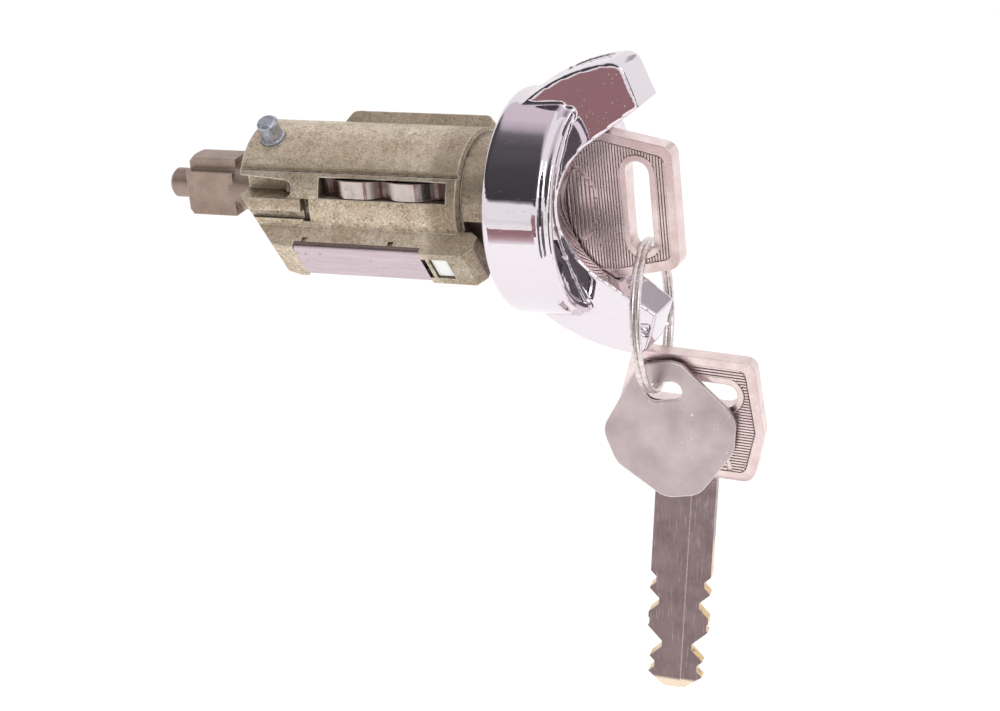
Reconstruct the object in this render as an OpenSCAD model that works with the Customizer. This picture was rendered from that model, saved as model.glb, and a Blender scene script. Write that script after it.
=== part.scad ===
// Ignition lock cylinder with its keys.
// The origin is on the lock axis at the front face of the sleeve, +X points to the key, +Z is up.
// An angle round the axis is counted from -Y upwards, so 90 is straight up.

/* [Sleeve] */
// Outer radius of the sleeve
sleeve_r = 10.2; // [9.8:0.1:11]
// Length of the sleeve behind its front face
sleeve_len = 36.3; // [35.8:0.1:38]
// Wall at the rear end that carries the tail
rear_wall = 6.3; // [6.1:0.1:7]
// Radius of the stop neck in front of the sleeve
neck_r = 9.3; // [9:0.1:9.6]
// Length of the stop neck
neck_len = 5.9; // [5:0.1:5.95]
// Direction of the pin rib round the axis
rib_angle = -35; // [-40:1:-32]
// Half the width of the pin rib
rib_half = 3.65; // [3.5:0.05:4]
// Outer face of the pin rib, from the axis
rib_h = 13.3; // [13.1:0.1:13.8]
// Direction of the guide fin round the axis
fin_angle = 137; // [130:1:142]
// Width of the guide fin
fin_w = 5; // [4:0.1:6]
// Top of the guide fin, from the axis
fin_h = 12.2; // [11.5:0.1:12.8]

/* [Plug] */
// Radius of the plug
plug_r = 7.6; // [7.5:0.05:7.8]
// Front face of the plug
plug_front = 10.9; // [10.6:0.1:11]
// Running clearance of turning and sliding fits, on the radius
run_gap = 0.05; // [0.03:0.01:0.08]
// Clearance between pieces that are fixed together
seat_gap = 0.02; // [0.01:0.01:0.04]

/* [Pins] */
// Radius of the lock pins
pin_r = 1.3; // [1.2:0.05:1.35]
// Distance from pin to pin
pin_pitch = 3.6; // [3.5:0.05:3.7]
// Place of the first pin behind the front face
first_pin = 7; // [6.9:0.1:7.6]

/* [Tail] */
// Radius of the tail's journal
journal_r = 4; // [3.8:0.05:4.1]
// Radius of the pilot at the tail's end
pilot_r = 2.25; // [2:0.05:2.6]
// Length of the pilot
pilot_len = 4; // [3.5:0.1:5]
// Length of the drive block
block_len = 8; // [7:0.1:9]
// Half the width of the drive block
block_half = 3.5; // [3.2:0.1:3.8]
// Gap between the drive block and the sleeve
block_gap = 4.4; // [3.5:0.1:5]

/* [Retaining pin] */
// Radius of the retaining pin
stud_r = 1.6; // [1.5:0.05:1.65]
// How far the retaining pin stands out
stud_out = 3.2; // [2.8:0.1:3.2]
// Direction of the retaining pin round the axis
stud_angle = 66; // [62:1:70]

/* [Knob] */
// Radius of the knob's collar
collar_r = 16.6; // [16.2:0.1:17]
// Rear rim of the collar
collar_back = 6.3; // [6.3:0.1:6.8]
// Half the thickness of the wings at their root
wing_half = 4.7; // [4.5:0.05:5]
// Greatest radius of the wings
wing_r = 22.2; // [22:0.1:22.5]
// Front end of the wings
wing_front = 27.2; // [26.8:0.1:27.6]
// Radius at the bottom of the finger cut between the wings
grip_r = 12.3; // [11.8:0.1:12.8]
// Deepest point of the finger cut
grip_floor = 13.5; // [13.4:0.1:14]
// Angle of the finger cut's sides to the axis
grip_angle = 35; // [33:1:37]

/* [Key] */
// Length of the key's bow
bow_len = 18.8; // [18.4:0.1:19.4]
// Thickness of the bow at its rim
bow_t = 2.8; // [2.5:0.1:2.9]
// Greatest half width of the bow
bow_half = 11.2; // [10.8:0.1:11.3]
// Length of the blade
blade_len = 36.2; // [35.6:0.1:36.4]
// Half the width of the blade
blade_half = 4.6; // [4.4:0.05:4.65]
// Thickness of the blade
blade_t = 2.2; // [2:0.05:2.3]

/* [Ring and tag] */
// Radius of the key ring at the middle of its wire
ring_r = 11; // [10.9:0.1:11.6]
// Radius of the ring's wire
wire_r = 0.42; // [0.38:0.01:0.45]
// Turn of the ring about the vertical
ring_turn = 9; // [0:1:12]
// Thickness of the tag
tag_t = 0.9; // [0.7:0.05:1.1]
// Half the width of the tag
tag_half = 10.2; // [9.5:0.1:11]

/* [Hidden] */
$fn = 64;
// Depth of the key's cut under each pin, from the shoulder to the tip
cut_depths = [0.9, 1.5, 0.2, 2.3, 1.3];
pin_count = len(cut_depths);

cast = "#a08c69";
tail_cast = "#8f7b6d";
steel = "#b9b7b8";
chrome = "#d9d8de";
nickel = "#c4b3ac";
brass = "#c9a860";
eps = 0.01;
arc_steps = 6;
far = 40;

// Places along the axis
end_gap = 0.2;
sleeve_back = -sleeve_len;
plug_back = sleeve_back + rear_wall + end_gap;
bore_r = plug_r + run_gap;
bore_back = sleeve_back + rear_wall;
function pin_x(i) = -first_pin - i * pin_pitch;

// Tail
tail_bore_r = journal_r + run_gap;
block_front = sleeve_back - block_gap;
block_back = block_front - block_len;
block_low = 3.8;
block_high = 3;
block_rib_half = 2;
block_rib_top = 4.8;
block_chamfer = 1.6;
neck_waist = 0.3;
tongue_half = 1.5;
tongue_w = 3.7;
tongue_len = 3.2;
cross_pin_r = 0.7;
cross_pin_x = plug_back + tongue_len / 2;
cross_pin_half = 6.6;
snap_t = 0.8;
snap_x = sleeve_back + 0.4;
snap_r = 5.4;
snap_groove = 0.65;
snap_recess_r = snap_r + 0.3;
snap_recess = 1.4;
snap_mouth = 2.8;

// Pin rib, its cover and the chambers
chamber_r = pin_r + run_gap;
cover_t = 0.4;
cover_lap = 1.1;
cover_back = pin_x(pin_count - 1) - 5;
cover_front = pin_x(0) + 1.2;
cover_round = 0.95;
rib_slope_h = 6.5;
rib_slope_knee = 6.2;
rib_slope_end = 8.6;
rib_back = sleeve_back + 2;
rib_front = 2.6;
rib_chamfer = 1.4;
stake_size = 0.8;
stake_inset = 1.1;
stake_step = 14.2;
stake_places = [cover_back + stake_inset, cover_back + stake_inset + stake_step];
driver_foot = bore_r + 0.1;
driver_len = 2.6;
pin_edge = 0.2;
key_pin_flat = 0.4;
key_pin_cone = 0.8;
key_pin_head = plug_r - 0.1;
coil_play = 0.1;
pin_wire = 0.15;
pin_turns = 5;

// Warning plunger
plunger_x = -3.1;
plunger_w = 2.7;
plunger_h = 4.4;
slit_w = 0.7;
slit_floor = 1.2;
plunger_top = rib_h - 0.4;
plunger_travel = 1;
plunger_foot = bore_r + 0.3 + plunger_travel;
plunger_flange = 0.4;
plunger_flange_t = 0.8;
plunger_play = 0.12;

// Near side of the sleeve
groove_y = 8.1;
groove_z = 5.5;
slot_z = 3.5;
slot_half = 1.45;
slot_inset = 13.6;
slot_back = sleeve_back + slot_inset;
slot_front = -2;
window_low = 1.9;
window_high = 4.9;
window_end_high = 4.4;
window_floor = 6.1;
window_len = 9.1;
window_front = sleeve_back + window_len;
rail_low = 0;
rail_len = 10.7;
rail_front = sleeve_back + rail_len;
rail_y = 10.5;
notch_front = rail_front + 1.3;
notch_low = -1.6;
notch_y = 8.9;
undercut_low = -1.3;
undercut_y = 9.4;
fin_inset = 10.3;
fin_back = sleeve_back + fin_inset;
fin_rise = 1.8;
fin_front = -1;
fin_round = 1.2;
edge_cut = 0.5;

// Stop neck and the knob's lug
stop_from = -163;
stop_to = -4;
stop_back = 0.3;
stop_steps = 40;
stop_reach = sleeve_r + 5;
lug_angle = -156;
lug_half = 5;
lug_back = 3.2;
lug_gap = 0.3;
lug_r = neck_r + 0.56;

// Detent spring
wave_t = 0.45;
wave_low = bore_r + 0.3;
wave_high = sqrt(sleeve_r * sleeve_r - slot_z * slot_z) + 0.35;
wave_end_gap = 0.4;
wave_steps = 36;
wave_rise = 0.2;
wave_dip = 0.6;
wave_spread = 2.2;
wave_sharp = 6;
wave_play = 0.15;

// Retaining pin and its spring
stud_guide_r = stud_r + 0.3;
stud_bore_r = stud_guide_r + run_gap;
stud_wall = 0.4;
stud_x = sleeve_back + rear_wall - stud_bore_r - stud_wall;
stud_floor = tail_bore_r + 0.45;
stud_foot = stud_floor + stud_out + 0.15;
stud_step = sleeve_r + 0.15;
stud_wire = 0.16;
stud_turns = 8;
stud_tip = sleeve_r + stud_out;
stud_hollow_r = stud_r - 0.5;
stud_hollow = 3.6;
stud_chamfer = 0.35;

// Knob
hub_r = plug_r + 2;
hollow_r = collar_r - 1.6;
hollow_front = 12.4;
rim_round = 1;
rim_edge = 0.3;
lip_back = 15.6;
lip_front = 17;
lip_r = collar_r - 0.7;
lip_w = 1.3;
dish_r = lip_r - lip_w;
dish_floor = plug_front + 0.1;
dish_rise = 0.36;
dish_front = dish_floor + dish_rise * dish_r;
wing_root_x = 9.2;
wing_corner = 1.5;
wing_nose = 4.4;
wing_lip = 2.2;
wing_bulge = 1;
wing_tip_bulge = 0.45;
wing_steps = 8;
wing_end_r = 14.8;
wing_lean = 4;
wing_draft = 3.4;
web_half = 6.2;
grip_bite = 0.05;
panel_depth = 0.4;
panel_half = 2.4;
panel_back = 13.4;
panel_front = 21.8;
pocket_floor = -2.2;
spring_pin_r = 0.75;
spring_pin_x = collar_back + 2.4;
spring_pin_foot = plug_r - 2.4;
spring_pin_sunk = 0.2;

// Key
tip_room = 1.8;
shoulder_x = plug_back + tongue_len + tip_room + blade_len;
key_gap = 0.15;
bow_slot_gap = 0.25;
bow_end_half = 9;
bow_wide_x = 0.42 * bow_len;
bow_root_half = 10.1;
bow_round = 1.8;
rim_w = 1.3;
face_t = 2.2;
eye_inset = 5.55;
eye_x = bow_len - eye_inset;
eye_half = 6.9;
eye_r = 1.85;
eye_rim = 0.9;
cut_flat = 0.5;
tip_half = 1.6;
tip_len = 2.4;
mill_z = -0.9;
mill_depth = 0.25;
key_pin_tip = blade_half + 0.1;

// Ring, tag and spare key hang below the bow's eye
ring_hang = 0.45;
tag_hang = 0.4;
spare_hang = 0.9;
coil_step = wire_r - 0.02;
eye_world_x = shoulder_x + eye_x;
ring_top_z = -eye_half + wire_r + ring_hang;
ring_low_z = ring_top_z - 2 * ring_r;
split_gap = wire_r;
split_turns = [25, 62];
tag_place = -0.9;
tag_hold = 0.9;
tag_tilt = -5.3;
tag_hole_half = 1.3;
tag_hole_r = 1.5;
tag_points = [
  [2.9, 4.6],
  [tag_half, -5],
  [0.88 * tag_half, -10.5],
  [2.6, -16.8]
];
tag_round = 3.6;
spare_place = 1.75;
spare_hold = -4.9;
spare_tilt = 7.5;

// Helpers

// Turns a piece that points to -Y so that it points to an angle round the axis.
module toward(angle) {
  rotate([-angle, 0, 0]) children();
}

// A cylinder along the lock axis.
module along(r, from, to) {
  translate([from, 0, 0]) rotate([0, 90, 0]) cylinder(r = r, h = to - from);
}

// Turns a profile of [radius, place] points about the lock axis.
module turned(points) {
  rotate([0, 90, 0]) rotate_extrude() polygon(points);
}

// A round hole or pin that points outwards, between two distances from the axis.
module spoke(angle, x, r, from, to) {
  toward(angle) translate([x, -from, 0]) rotate([90, 0, 0]) cylinder(r = r, h = to - from);
}

// A block that points outwards.
module block_out(angle, x0, x1, from, to, half) {
  toward(angle) translate([x0, -to, -half]) cube([x1 - x0, to - from, 2 * half]);
}

function unit(v) = v / norm(v);
function half_corner(p, q, n) = acos(unit(p - q) * unit(n - q)) / 2;

// Points on the arc of radius r that rounds the corner q between its neighbours p and n.
function corner_arc(p, q, n, r) =
  let (half = half_corner(p, q, n))
  let (centre = q + unit(unit(p - q) + unit(n - q)) * r / sin(half))
  let (first = q + unit(p - q) * r / tan(half) - centre)
  let (side = cross(q - p, n - q) > 0 ? 1 : -1)
  let (start = atan2(first[1], first[0]))
  [for (k = [0:arc_steps]) centre + r * [cos(start + side * k * (180 - 2 * half) / arc_steps),
    sin(start + side * k * (180 - 2 * half) / arc_steps)]];

// A convex outline with round corners.
module rounded(points, r) {
  n = len(points);
  polygon([for (i = [0:n - 1]) each corner_arc(points[(i + n - 1) % n], points[i], points[(i + 1) % n], r)]);
}

// Mirrors the right half of an outline, listed from the top down.
function both_sides(half) = concat(
  half,
  [for (i = [len(half) - 1:-1:0]) [-half[i][0], half[i][1]]]
);

// A coil spring along +Z as one swept tube.
module coil(r, wire, length, turns) {
  per_turn = 12;
  sides = 6;
  steps = turns * per_turn;
  rise = length - 2 * wire;
  ring = [for (i = [0:steps]) let (a = 360 * i / per_turn, z = wire + rise * i / steps)
    for (j = [0:sides - 1]) let (b = 360 * j / sides)
      [(r + wire * cos(b)) * cos(a), (r + wire * cos(b)) * sin(a), z + wire * sin(b)]];
  walls = [for (i = [0:steps - 1]) for (j = [0:sides - 1])
    let (k = (j + 1) % sides, a = i * sides, b = (i + 1) * sides)
    each [[a + j, b + j, b + k], [a + j, b + k, a + k]]];
  caps = [[for (j = [0:sides - 1]) j], [for (j = [sides - 1:-1:0]) steps * sides + j]];
  polyhedron(ring, concat(walls, caps));
}

// Sleeve

module sleeve_outside() {
  turned([[0, sleeve_back], [sleeve_r - edge_cut, sleeve_back], [sleeve_r, sleeve_back + edge_cut],
    [sleeve_r, -edge_cut], [sleeve_r - edge_cut, 0], [0, 0]]);
  along(neck_r, -1, neck_len);
  pin_rib();
  guide_fin();
  rail();
}

module pin_rib() {
  toward(rib_angle) linear_extrude(2 * rib_half, center = true)
    polygon([[rib_back, 0], [rib_back, -rib_h], [rib_front - rib_chamfer, -rib_h],
      [rib_front, rib_chamfer - rib_h], [rib_front, -sleeve_r + edge_cut],
      [-edge_cut, -plug_r], [-edge_cut, 0]]);
}

module guide_fin() {
  toward(fin_angle) linear_extrude(fin_w, center = true)
    rounded([[fin_back, -plug_r - 1], [fin_back + fin_rise, -fin_h],
      [fin_front, -fin_h], [fin_front, -plug_r - 1]], fin_round);
}

// The rail under the rear window stands a little proud of the sleeve.
module rail() {
  translate([sleeve_back + edge_cut, -rail_y, rail_low])
    cube([rail_front - sleeve_back - edge_cut, rail_y - window_floor, window_low - rail_low]);
}

module rear_slope() {
  toward(rib_angle) linear_extrude(far, center = true)
    polygon([[sleeve_back - 1, 1 - rib_slope_h],
      [sleeve_back + rib_slope_knee, -rib_slope_h - rib_slope_knee],
      [sleeve_back + rib_slope_end, -rib_h - eps],
      [sleeve_back + rib_slope_end, -far], [sleeve_back - 1, -far]]);
}

module cover_seat() {
  back = cover_back - seat_gap;
  front = cover_front + seat_gap;
  lap = rib_h - cover_lap - seat_gap;
  inner_half = rib_half - cover_t - seat_gap;
  block_out(rib_angle, back, front, rib_h - cover_t - seat_gap, far, far / 4);
  for (side = [0, 1])
    toward(rib_angle) mirror([0, 0, side]) translate([back, -far, inner_half])
      cube([front - back, far - lap, far]);
}

module stakes() {
  for (x = stake_places)
    toward(rib_angle) translate([x, cover_lap - rib_h - eps, rib_half - stake_size / 2])
      cube([stake_size, stake_size, stake_size]);
}

// The plunger's window, and a slit beside it in front of the cover's end.
module plunger_window() {
  w = plunger_w / 2 + plunger_play;
  h = plunger_h / 2 + plunger_play;
  f = w + plunger_flange;
  flange_top = plunger_foot + plunger_flange_t + plunger_play;
  block_out(rib_angle, plunger_x - w, plunger_x + w, plug_r - 1, far, h);
  block_out(rib_angle, plunger_x - f, plunger_x + f, plug_r - 1, flange_top, h);
  block_out(rib_angle, cover_front, cover_front + slit_w, rib_h - slit_floor, far, h);
}

module rear_window() {
  end_r = (window_end_high - window_low) / 2;
  translate([0, -window_floor, 0]) rotate([90, 0, 0]) linear_extrude(far) {
    polygon([[sleeve_back - 1, window_low], [window_front - end_r, window_low],
      [window_front - end_r, window_end_high], [sleeve_back - 1, window_high]]);
    translate([window_front - end_r, window_low + end_r]) circle(end_r);
  }
}

module near_side_cuts() {
  translate([-far, -groove_y - far, groove_z]) cube([2 * far, far, sleeve_r - groove_z]);
  translate([0, 0, slot_z]) block_out(0, slot_back, slot_front, plug_r - 2, far, slot_half);
  rear_window();
  translate([rail_front, -far, notch_low])
    cube([notch_front - rail_front, far - notch_y, window_low - notch_low]);
  translate([sleeve_back + 1.6, -far, undercut_low])
    cube([rail_front - sleeve_back - 1.6 + eps, far - undercut_y, rail_low - undercut_low]);
}

// The sector of the neck in which the knob's lug travels.
module stop_sector() {
  translate([stop_back, 0, 0]) rotate([90, 0, 90]) linear_extrude(neck_len)
    polygon(concat([[0, 0]], [for (k = [0:stop_steps])
      let (a = stop_from + (stop_to - stop_from) * k / stop_steps) stop_reach * [-cos(a), sin(a)]]));
}

module sleeve() {
  color(cast) difference() {
    sleeve_outside();
    along(bore_r, bore_back, far);
    along(tail_bore_r, sleeve_back - 1, far);
    along(snap_recess_r, sleeve_back - 1, sleeve_back + snap_recess);
    rear_slope();
    cover_seat();
    stakes();
    for (i = [0:pin_count - 1])
      spoke(rib_angle, pin_x(i), chamber_r, plug_r - 1, far);
    plunger_window();
    near_side_cuts();
    spoke(stud_angle, stud_x, stud_bore_r, stud_floor, far);
    intersection() {
      stop_sector();
      along(sleeve_r - edge_cut, stop_back, far);
    }
  }
}

// Plug, tail and knob turn together

module keyway() {
  translate([shoulder_x - blade_len - 2 * key_gap, -blade_t / 2 - key_gap, -blade_half - key_gap])
    cube([far, blade_t + 2 * key_gap, 2 * (blade_half + key_gap)]);
}

// The slot in which the root of the key's bow stands.
module bow_slot() {
  translate([shoulder_x - bow_slot_gap, -bow_t / 2 - bow_slot_gap, -bow_half - bow_slot_gap])
    cube([far, bow_t + 2 * bow_slot_gap, 2 * (bow_half + bow_slot_gap)]);
}

module tail_tongue(gap) {
  translate([plug_back - 1, -tongue_half - gap, -tongue_w - gap])
    cube([1 + tongue_len + gap, 2 * (tongue_half + gap), 2 * (tongue_w + gap)]);
}

module cross_pin_hole(gap) {
  translate([cross_pin_x, -cross_pin_half - gap, 0]) rotate([-90, 0, 0])
    cylinder(r = cross_pin_r + gap, h = 2 * (cross_pin_half + gap));
}

module plug() {
  color(tail_cast) difference() {
    turned([[0, plug_back], [plug_r - edge_cut, plug_back], [plug_r, plug_back + edge_cut],
      [plug_r, plug_front], [0, plug_front]]);
    keyway();
    bow_slot();
    tail_tongue(seat_gap);
    cross_pin_hole(seat_gap);
    for (i = [0:pin_count - 1])
      spoke(-90, pin_x(i), chamber_r, 0, far);
    spoke(0, spring_pin_x, spring_pin_r + seat_gap, spring_pin_foot, far);
  }
}

module tail_shaft() {
  color(tail_cast) difference() {
    union() {
      turned([[0, block_back - pilot_len], [pilot_r - edge_cut, block_back - pilot_len],
        [pilot_r, block_back - pilot_len + edge_cut], [pilot_r, block_back + 1], [0, block_back + 1]]);
      intersection() {
        drive_block();
        turned([[0, block_back], [block_rib_top - 0.2, block_back],
          [block_rib_top + block_chamfer, block_back + block_chamfer + 0.2],
          [block_rib_top + block_chamfer, block_front], [0, block_front]]);
      }
      turned([[0, block_front - 1], [journal_r - neck_waist, block_front - 1],
        [journal_r - neck_waist, sleeve_back - 1], [journal_r, sleeve_back],
        [journal_r, plug_back - seat_gap], [0, plug_back - seat_gap]]);
      tail_tongue(0);
    }
    cross_pin_hole(seat_gap);
    difference() {
      along(far, snap_x - seat_gap, snap_x + snap_t + seat_gap);
      along(journal_r - snap_groove, snap_x - 1, snap_x + snap_t + 1);
    }
  }
}

module drive_block() {
  translate([block_back, 0, 0]) rotate([90, 0, 90]) linear_extrude(block_len) {
    translate([-block_half, -block_low]) square([2 * block_half, block_low + block_high]);
    translate([-block_rib_half, 0]) square([2 * block_rib_half, block_rib_top]);
  }
}

module tail_cross_pin() {
  color(steel) cross_pin_hole(0);
}

module tail_snap_ring() {
  color(steel) difference() {
    along(snap_r, snap_x, snap_x + snap_t);
    along(journal_r - snap_groove + seat_gap, snap_x - 1, snap_x + snap_t + 1);
    translate([snap_x - 1, 0, -snap_mouth / 2]) cube([snap_t + 2, far, snap_mouth]);
  }
}

// Points from p to q on a curve that swells out to the left by the bulge.
function bulged(p, q, bulge, steps) =
  let (side = unit([p[1] - q[1], q[0] - p[0]]))
  [for (k = [0:steps]) let (t = k / steps) p + (q - p) * t - side * bulge * 4 * t * (1 - t)];

// Outer profile of the wings about the axis, with a step inwards for the panel.
function wing_profile(inset) = concat(
  [[0, wing_root_x]],
  bulged([collar_r - inset, wing_root_x], [wing_r - inset, wing_front - wing_nose], wing_bulge, wing_steps),
  bulged([wing_r - inset, wing_front - wing_nose], [wing_r - wing_corner - inset, wing_front - wing_lip],
    wing_tip_bulge, wing_steps / 2),
  [[wing_end_r - inset, wing_front], [0, wing_front]]
);

// The wings get thinner towards their tips and their outer edges.
module wings() {
  difference() {
    turned(wing_profile(0));
    for (up = [0, 1]) for (side = [0, 1])
      mirror([0, 0, up]) mirror([0, side, 0]) translate([wing_root_x, -wing_half, collar_r])
        rotate([-wing_draft, 0, wing_lean]) translate([-far, -far, -2 * far])
          cube([3 * far, far, 4 * far]);
  }
}

// The finger cut has a round bottom and straight sides.
module finger_cut() {
  middle = grip_floor + grip_r;
  side_x = middle - (grip_r - grip_bite) * sin(grip_angle);
  side_z = (grip_r - grip_bite) * cos(grip_angle);
  open_z = side_z + (far - side_x) * tan(grip_angle);
  translate([0, web_half, 0]) rotate([90, 0, 0]) linear_extrude(2 * web_half) {
    translate([middle, 0]) circle(grip_r);
    polygon([[side_x, -side_z], [far, -open_z], [far, open_z], [side_x, side_z]]);
  }
}

// The collar's front is a shallow dish inside a raised lip.
module collar() {
  turned([[0, collar_back], [collar_r - rim_round, collar_back],
    [collar_r - 0.3 * rim_round, collar_back + 0.3 * rim_round], [collar_r, collar_back + rim_round],
    [collar_r, lip_back - rim_edge], [collar_r - rim_edge, lip_back],
    [lip_r, lip_back + rim_edge], [lip_r, lip_front - rim_edge], [lip_r - rim_edge, lip_front],
    [dish_r + rim_edge, lip_front], [dish_r, lip_front - rim_edge],
    [dish_r - rim_edge, dish_front], [0, dish_floor]]);
}

module wing_panel() {
  difference() {
    translate([panel_back, -panel_half, collar_r - 1]) cube([panel_front - panel_back, 2 * panel_half, far]);
    turned(wing_profile(panel_depth));
  }
}

// A shallow three-cornered pocket in the near side of the lower wing's tip.
module tip_pocket() {
  translate([0, pocket_floor, 0]) rotate([90, 0, 0]) linear_extrude(far)
    polygon([[wing_front - 4.2, -wing_end_r - 2.6], [wing_front - 1.5, -wing_end_r - 2.2],
      [wing_front - 2.1, -wing_end_r - 4.6]]);
}

module stop_lug() {
  toward(lug_angle) rotate([90, 0, 90]) translate([0, 0, lug_back]) linear_extrude(collar_back - lug_back + 1)
    difference() {
      polygon([[0, 0], for (a = [-lug_half, lug_half]) lug_r * [-cos(a), sin(a)]]);
      circle(bore_r + lug_gap);
    }
}

module knob() {
  color(chrome) difference() {
    union() {
      collar();
      wings();
      stop_lug();
    }
    finger_cut();
    difference() {
      along(hollow_r, collar_back - eps, hollow_front);
      along(hub_r, collar_back - 1, hollow_front + 1);
    }
    along(plug_r + seat_gap, collar_back - eps, plug_front + seat_gap);
    bow_slot();
    keyway();
    wing_panel();
    tip_pocket();
    spoke(0, spring_pin_x, spring_pin_r + seat_gap, 0, hub_r + 1);
  }
}

module knob_spring_pin() {
  color(steel) spoke(0, spring_pin_x, spring_pin_r, spring_pin_foot + seat_gap, hub_r - spring_pin_sunk);
}

// Small pieces in the sleeve

module retaining_pin() {
  color(steel) toward(stud_angle) translate([stud_x, 0, 0]) rotate([90, 0, 0]) rotate_extrude()
    polygon([[stud_hollow_r, stud_foot], [stud_guide_r, stud_foot], [stud_guide_r, stud_step],
      [stud_r, stud_step], [stud_r, stud_tip - stud_chamfer],
      [stud_r - stud_chamfer, stud_tip], [0, stud_tip], [0, stud_foot + stud_hollow],
      [stud_hollow_r, stud_foot + stud_hollow]]);
}

module retaining_pin_spring() {
  color(steel) toward(stud_angle) translate([stud_x, -stud_floor, 0]) rotate([90, 0, 0])
    coil(stud_hollow_r - stud_wire - coil_play, stud_wire, stud_foot + stud_hollow - stud_floor, stud_turns);
}

// Two crests with a dip between them, and both ends down on the plug.
function wave_height(s) = wave_low + (wave_high - wave_low - wave_t)
  * min(1, s / wave_rise, (1 - s) / wave_rise)
  * (1 - wave_dip * pow(cos(180 * (s - 0.5) * wave_spread), wave_sharp));

module detent_wave_spring() {
  x0 = slot_back + wave_end_gap;
  run = slot_front - slot_back - 2 * wave_end_gap;
  low = [for (i = [0:wave_steps]) let (s = i / wave_steps) [x0 + run * s, -wave_height(s)]];
  high = [for (i = [wave_steps:-1:0]) let (s = i / wave_steps) [x0 + run * s, -wave_height(s) - wave_t]];
  color(steel) translate([0, 0, slot_z]) linear_extrude(2 * (slot_half - wave_play), center = true)
    polygon(concat(low, high));
}

module pin_cover() {
  inner_half = rib_half - cover_t;
  flat_half = rib_half - cover_round;
  color(steel) toward(rib_angle) translate([cover_back, 0, 0]) rotate([90, 0, 90])
    linear_extrude(cover_front - cover_back) difference() {
      union() {
        translate([cover_round - rib_h, -rib_half]) square([2 * cover_round, 2 * rib_half]);
        translate([-rib_h, -flat_half]) square([3 * cover_round, 2 * flat_half]);
        for (side = [-1, 1])
          translate([cover_round - rib_h, side * flat_half]) circle(cover_round);
      }
      translate([cover_lap - rib_h, -far]) square(2 * far);
      translate([cover_t - rib_h, -inner_half]) square([rib_h, 2 * inner_half]);
    }
}

module key_warning_plunger() {
  w = plunger_w / 2;
  h = plunger_h / 2;
  f = w + plunger_flange;
  color("white") {
    block_out(rib_angle, plunger_x - w, plunger_x + w, plunger_foot, plunger_top, h);
    block_out(rib_angle, plunger_x - f, plunger_x + f, plunger_foot, plunger_foot + plunger_flange_t, h);
  }
}

module key_pin(i) {
  color(brass) toward(-90) translate([pin_x(i), 0, 0]) rotate([90, 0, 0]) rotate_extrude()
    polygon([[0, key_pin_tip], [key_pin_flat, key_pin_tip], [pin_r, key_pin_tip + key_pin_cone],
      [pin_r, key_pin_head - pin_edge], [pin_r - pin_edge, key_pin_head], [0, key_pin_head]]);
}

module driver_pin(i) {
  color(brass) toward(rib_angle) translate([pin_x(i), -driver_foot, 0]) rotate([90, 0, 0]) rotate_extrude()
    polygon([[0, 0], [pin_r - pin_edge, 0], [pin_r, pin_edge], [pin_r, driver_len - pin_edge],
      [pin_r - pin_edge, driver_len], [0, driver_len]]);
}

module pin_spring(i) {
  foot = driver_foot + driver_len + seat_gap;
  color(steel) toward(rib_angle) translate([pin_x(i), -foot, 0]) rotate([90, 0, 0])
    coil(pin_r - pin_wire - coil_play, pin_wire, rib_h - cover_t - seat_gap - foot, pin_turns);
}

// Keys: the shoulder is at the origin, the bow points to +X

module bow_outline(inset) {
  rounded([[inset, bow_root_half - inset], [bow_wide_x, bow_half - inset],
    [bow_len - inset, bow_end_half - inset], [bow_len - inset, inset - bow_end_half],
    [bow_wide_x, inset - bow_half], [inset, inset - bow_root_half]], bow_round - inset / 2);
}

module eye(grow) {
  r = eye_r + grow;
  translate([eye_x - r, eye_r - eye_half]) square([2 * r, 2 * (eye_half - eye_r)]);
  for (side = [-1, 1])
    translate([eye_x, side * (eye_half - eye_r)]) circle(r);
}

module cut(x, depth) {
  for (side = [0, 1])
    mirror([0, side]) polygon([[x - cut_flat - depth - 1, blade_half + 1], [x - cut_flat, blade_half - depth],
      [x + cut_flat, blade_half - depth], [x + cut_flat + depth + 1, blade_half + 1]]);
}

module blade_outline() {
  difference() {
    polygon([[1, blade_half], [tip_len - blade_len, blade_half], [-blade_len, tip_half],
      [-blade_len, -tip_half], [tip_len - blade_len, -blade_half], [1, -blade_half]]);
    for (i = [0:pin_count - 1])
      cut(pin_x(i) - shoulder_x, cut_depths[i]);
  }
}

module flat(t) {
  rotate([90, 0, 0]) linear_extrude(t, center = true) children();
}

module key() {
  color(nickel) difference() {
    union() {
      flat(bow_t) bow_outline(0);
      flat(blade_t) blade_outline();
    }
    flat(far) eye(0);
    for (side = [-1, 1]) {
      translate([0, side * (face_t + far) / 2, 0]) flat(far) difference() {
        bow_outline(rim_w);
        eye(eye_rim);
      }
      translate([0, side * (blade_t / 2 - mill_depth + far / 2), 0]) flat(far)
        translate([-blade_len - 1, -far]) square([blade_len, far + mill_z]);
    }
  }
}

module ignition_key() {
  translate([shoulder_x, 0, 0]) key();
}

// Things on the ring, with the lowest point of the ring's wire as their origin.
module on_ring() {
  translate([eye_world_x, 0, ring_low_z]) rotate([0, 0, ring_turn]) children();
}

module spare_key() {
  on_ring() translate([0, spare_place, 0]) rotate([0, spare_tilt, 0]) rotate([0, -90, 0])
    translate([wire_r + spare_hang - eye_x - eye_r, 0, spare_hold]) key();
}

module key_ring() {
  color(steel) translate([eye_world_x, 0, ring_top_z - ring_r]) rotate([0, 0, ring_turn]) rotate([0, 90, 0])
    difference() {
      rotate_extrude() for (side = [-1, 1]) translate([ring_r, side * coil_step]) circle(wire_r);
      for (k = [0, 1])
        rotate(split_turns[k]) translate([0, -split_gap / 2, k == 0 ? seat_gap : -far - seat_gap])
          cube([far, split_gap, far]);
    }
}

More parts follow.
